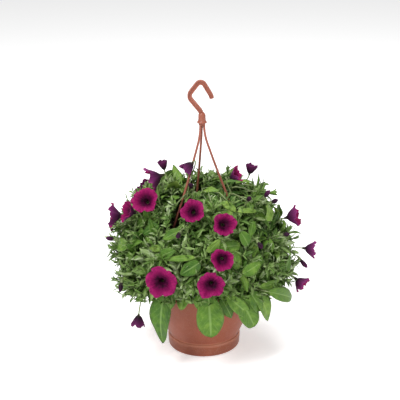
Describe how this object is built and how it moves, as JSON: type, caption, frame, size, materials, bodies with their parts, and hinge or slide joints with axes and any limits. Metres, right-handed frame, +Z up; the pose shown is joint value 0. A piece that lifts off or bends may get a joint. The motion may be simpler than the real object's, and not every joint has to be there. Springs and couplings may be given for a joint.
{
  "type": "hanging basket",
  "caption": "Planted hanging basket: tapered plastic pot with clip-on saucer, moulded strand hanger with swivel hook, and a mounded flowering plant.",
  "frame": {"origin": "centre of the underside of the saucer, on the axis of the pot and of the hook's swivel", "axes": "+Z up along the axis of the pot; the front of the basket is -Y, and +X is to the right as seen from the front"},
  "size_m": [0.3945, 0.3952, 0.521],
  "materials": {
    "pot": "satin",
    "saucer": "satin",
    "hanger": "satin",
    "compost": "matte",
    "leaves": "matte",
    "stems": "matte",
    "petals": "matte",
    "buds": "matte"
  },
  "bodies": {
    "basket": {"bloom_01": "petals", "bloom_02": "petals", "bloom_03": "petals", "bloom_04": "petals", "bloom_05": "petals", "bloom_06": "petals", "bloom_07": "petals", "bloom_08": "petals", "bloom_09": "petals", "bloom_10": "petals", "bloom_11": "petals", "bloom_12": "petals", "bloom_13": "petals", "bloom_14": "petals", "bloom_15": "petals", "bloom_16": "petals", "bloom_17": "petals", "blooms_back": "petals", "bud_01": "buds", "bud_02": "buds", "bud_03": "buds", "bud_04": "buds", "bud_05": "buds", "bud_06": "buds", "bud_07": "buds", "bud_08": "buds", "bud_09": "buds", "bud_10": "buds", "compost": "compost", "hanger_root": "hanger", "leaves_crown_1": "leaves", "leaves_crown_2": "leaves", "leaves_crown_3": "leaves", "leaves_shoulder_1": "leaves", "leaves_shoulder_2": "leaves", "leaves_shoulder_3": "leaves", "leaves_shoulder_4": "leaves", "leaves_shoulder_5": "leaves", "leaves_shoulder_6": "leaves", "leaves_skirt_1": "leaves", "leaves_skirt_2": "leaves", "leaves_skirt_3": "leaves", "leaves_skirt_4": "leaves", "leaves_skirt_5": "leaves", "leaves_skirt_6": "leaves", "pot": "pot", "stem_1": "stems", "stem_2": "stems", "stem_3": "stems", "stem_4": "stems", "stem_5": "stems", "stem_6": "stems", "stem_7": "stems", "stem_8": "stems", "stem_9": "stems", "strand_back": "hanger", "strand_left": "hanger", "strand_right": "hanger"},
    "hook": {"hook": "hanger"},
    "saucer": {"saucer": "saucer"}
  },
  "joints": [
    {"name": "hook_swivel", "type": "hinge", "parent": "basket", "child": "hook", "pos_m": [0, 0, 0.45], "axis": [0, 0, 1], "continuous": true},
    {"name": "saucer_clip", "type": "slide", "parent": "basket", "child": "saucer", "axis": [0, 0, -1], "range_m": [0, 0.04]}
  ]
}
